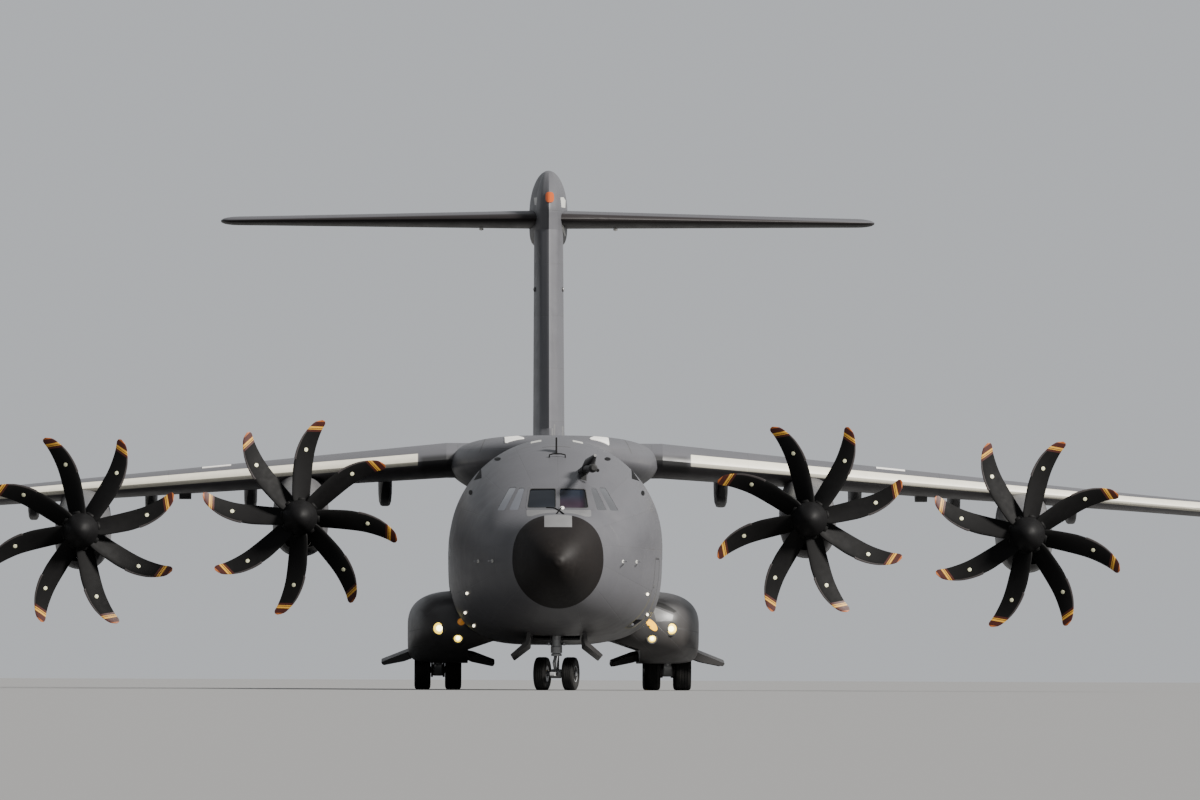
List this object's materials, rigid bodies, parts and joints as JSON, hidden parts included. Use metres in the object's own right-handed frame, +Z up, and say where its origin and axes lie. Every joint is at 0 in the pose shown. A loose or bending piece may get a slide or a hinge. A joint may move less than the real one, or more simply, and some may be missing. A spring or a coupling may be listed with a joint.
{
  "type": "military transport plane, 1:2 scale model",
  "caption": "High-wing military transport plane with turboprop engines, T-tail, tall fuselage, rear cargo ramp and fairings for the main gear.",
  "frame": {"origin": "on the ground, midway between the nose and tail tips and between the wing tips", "axes": "+X to port, +Y aft, +Z up"},
  "size_m": [21.2, 22.55, 7.35],
  "materials": {
    "skin_aluminium": "matt grey paint on metal",
    "skin_composite": "matt grey paint on composite",
    "radome_black": "matt black",
    "windscreen": "dark glass",
    "cabin": "matt dark grey",
    "floor": "worn metal",
    "gear_steel": "satin",
    "tyre": "matt rubber",
    "engine": "heat-stained metal",
    "blades": "satin black composite",
    "probe": "dark grey paint"
  },
  "bodies": {
    "airframe": {"aft_fuselage": "skin_composite", "cargo_floor": "floor", "centre_fuselage": "skin_aluminium", "cockpit_glazing": "windscreen", "engine_1": "engine", "engine_2": "engine", "engine_3": "engine", "engine_4": "engine", "fin": "skin_composite", "fin_bullet": "skin_composite", "flight_deck": "cabin", "forward_fuselage": "skin_aluminium", "main_gear_port": "gear_steel", "main_gear_starboard": "gear_steel", "nacelle_1": "skin_composite", "nacelle_2": "skin_composite", "nacelle_3": "skin_composite", "nacelle_4": "skin_composite", "nose_gear_door_port": "skin_composite", "nose_gear_door_starboard": "skin_composite", "nose_gear_strut": "gear_steel", "paratroop_door_port": "skin_aluminium", "paratroop_door_starboard": "skin_aluminium", "radome": "radome_black", "refuelling_probe": "probe", "sponson_port": "skin_composite", "sponson_starboard": "skin_composite", "tailplane": "skin_composite", "wing_box": "skin_composite", "wing_fairing": "skin_composite", "wing_port": "skin_composite", "wing_starboard": "skin_composite"},
    "propeller_1": {"propeller_1": "blades"},
    "propeller_2": {"propeller_2": "blades"},
    "propeller_3": {"propeller_3": "blades"},
    "propeller_4": {"propeller_4": "blades"},
    "main_wheels_1_port": {"main_wheels_1_port": "tyre"},
    "main_wheels_2_port": {"main_wheels_2_port": "tyre"},
    "main_wheels_3_port": {"main_wheels_3_port": "tyre"},
    "main_wheels_1_starboard": {"main_wheels_1_starboard": "tyre"},
    "main_wheels_2_starboard": {"main_wheels_2_starboard": "tyre"},
    "main_wheels_3_starboard": {"main_wheels_3_starboard": "tyre"},
    "nose_fork": {"nose_gear_fork": "gear_steel"},
    "nose_wheels": {"nose_wheels": "tyre"},
    "cargo_ramp": {"cargo_ramp": "skin_composite"},
    "cargo_door": {"cargo_door": "skin_composite"},
    "crew_door": {"crew_door": "skin_aluminium"},
    "rudder": {"rudder": "skin_composite"},
    "elevator_port": {"elevator_port": "skin_composite"},
    "elevator_starboard": {"elevator_starboard": "skin_composite"},
    "aileron_port": {"aileron_port": "skin_composite"},
    "aileron_starboard": {"aileron_starboard": "skin_composite"},
    "flap_inner_port": {"flap_inner_port": "skin_composite"},
    "flap_inner_starboard": {"flap_inner_starboard": "skin_composite"},
    "flap_outer_port": {"flap_outer_port": "skin_composite"},
    "flap_outer_starboard": {"flap_outer_starboard": "skin_composite"}
  },
  "joints": [
    {"name": "propeller_1_spin", "type": "hinge", "parent": "airframe", "child": "propeller_1", "pos_m": [6.335, -4.125, 2.11], "axis": [0, 1, 0], "continuous": true},
    {"name": "propeller_2_spin", "type": "hinge", "parent": "airframe", "child": "propeller_2", "pos_m": [3.4, -5.075, 2.29], "axis": [0, 1, 0], "continuous": true},
    {"name": "propeller_3_spin", "type": "hinge", "parent": "airframe", "child": "propeller_3", "pos_m": [-3.4, -5.075, 2.29], "axis": [0, 1, 0], "continuous": true},
    {"name": "propeller_4_spin", "type": "hinge", "parent": "airframe", "child": "propeller_4", "pos_m": [-6.335, -4.125, 2.11], "axis": [0, 1, 0], "continuous": true},
    {"name": "main_wheels_1_port_roll", "type": "hinge", "parent": "airframe", "child": "main_wheels_1_port", "pos_m": [1.55, -2.3, 0.26726], "axis": [1, 0, 0], "continuous": true},
    {"name": "main_wheels_2_port_roll", "type": "hinge", "parent": "airframe", "child": "main_wheels_2_port", "pos_m": [1.55, -1.5, 0.26726], "axis": [1, 0, 0], "continuous": true},
    {"name": "main_wheels_3_port_roll", "type": "hinge", "parent": "airframe", "child": "main_wheels_3_port", "pos_m": [1.55, -0.7, 0.26726], "axis": [1, 0, 0], "continuous": true},
    {"name": "main_wheels_1_starboard_roll", "type": "hinge", "parent": "airframe", "child": "main_wheels_1_starboard", "pos_m": [-1.55, -2.3, 0.26726], "axis": [1, 0, 0], "continuous": true},
    {"name": "main_wheels_2_starboard_roll", "type": "hinge", "parent": "airframe", "child": "main_wheels_2_starboard", "pos_m": [-1.55, -1.5, 0.26726], "axis": [1, 0, 0], "continuous": true},
    {"name": "main_wheels_3_starboard_roll", "type": "hinge", "parent": "airframe", "child": "main_wheels_3_starboard", "pos_m": [-1.55, -0.7, 0.26726], "axis": [1, 0, 0], "continuous": true},
    {"name": "nose_steering", "type": "hinge", "parent": "airframe", "child": "nose_fork", "pos_m": [0, -8.625, 0.49], "axis": [0, 0, 1], "range_deg": [-46.5, 73.5]},
    {"name": "nose_wheels_roll", "type": "hinge", "parent": "nose_fork", "child": "nose_wheels", "pos_m": [0, -8.625, 0.21823], "axis": [0.9724, -0.2334, 0], "continuous": true},
    {"name": "cargo_ramp_hinge", "type": "hinge", "parent": "airframe", "child": "cargo_ramp", "pos_m": [0, 2.535, 0.72], "axis": [1, 0, 0], "range_deg": [-26, 0]},
    {"name": "cargo_door_hinge", "type": "hinge", "parent": "airframe", "child": "cargo_door", "pos_m": [0, 7.735, 2.21], "axis": [1, 0, 0], "range_deg": [-26, 0]},
    {"name": "crew_door_hinge", "type": "hinge", "parent": "airframe", "child": "crew_door", "pos_m": [1, -8.275, 0.87], "axis": [0, 1, 0], "range_deg": [0, 105]},
    {"name": "rudder_hinge", "type": "hinge", "parent": "airframe", "child": "rudder", "pos_m": [0, 8.42321, 3.875], "axis": [0, 0.4301, 0.9028], "range_deg": [-30, 30]},
    {"name": "elevator_port_hinge", "type": "hinge", "parent": "airframe", "child": "elevator_port", "pos_m": [0.475, 9.97966, 6.65], "axis": [0.9826, 0.1855, 0], "range_deg": [-20, 30]},
    {"name": "elevator_starboard_hinge", "type": "hinge", "parent": "airframe", "child": "elevator_starboard", "pos_m": [-0.475, 9.97966, 6.65], "axis": [0.9826, -0.1855, 0], "range_deg": [-20, 30]},
    {"name": "aileron_port_hinge", "type": "hinge", "parent": "airframe", "child": "aileron_port", "pos_m": [7.75, -0.40652, 2.57797], "axis": [0.986, 0.1464, -0.0794], "range_deg": [-25, 25]},
    {"name": "aileron_starboard_hinge", "type": "hinge", "parent": "airframe", "child": "aileron_starboard", "pos_m": [-7.75, -0.40652, 2.57797], "axis": [0.986, -0.1464, 0.0794], "range_deg": [-25, 25]},
    {"name": "flap_inner_port_hinge", "type": "hinge", "parent": "airframe", "child": "flap_inner_port", "pos_m": [1.9, -1.24551, 2.68714], "axis": [0.9876, 0.147, -0.0551], "range_deg": [-40, 0]},
    {"name": "flap_inner_starboard_hinge", "type": "hinge", "parent": "airframe", "child": "flap_inner_starboard", "pos_m": [-1.9, -1.24551, 2.68714], "axis": [0.9876, -0.147, 0.0551], "range_deg": [-40, 0]},
    {"name": "flap_outer_port_hinge", "type": "hinge", "parent": "airframe", "child": "flap_outer_port", "pos_m": [4.81, -0.81254, 2.5248], "axis": [0.9882, 0.1434, -0.0547], "range_deg": [-40, 0]},
    {"name": "flap_outer_starboard_hinge", "type": "hinge", "parent": "airframe", "child": "flap_outer_starboard", "pos_m": [-4.81, -0.81254, 2.5248], "axis": [0.9882, -0.1434, 0.0547], "range_deg": [-40, 0]}
  ]
}
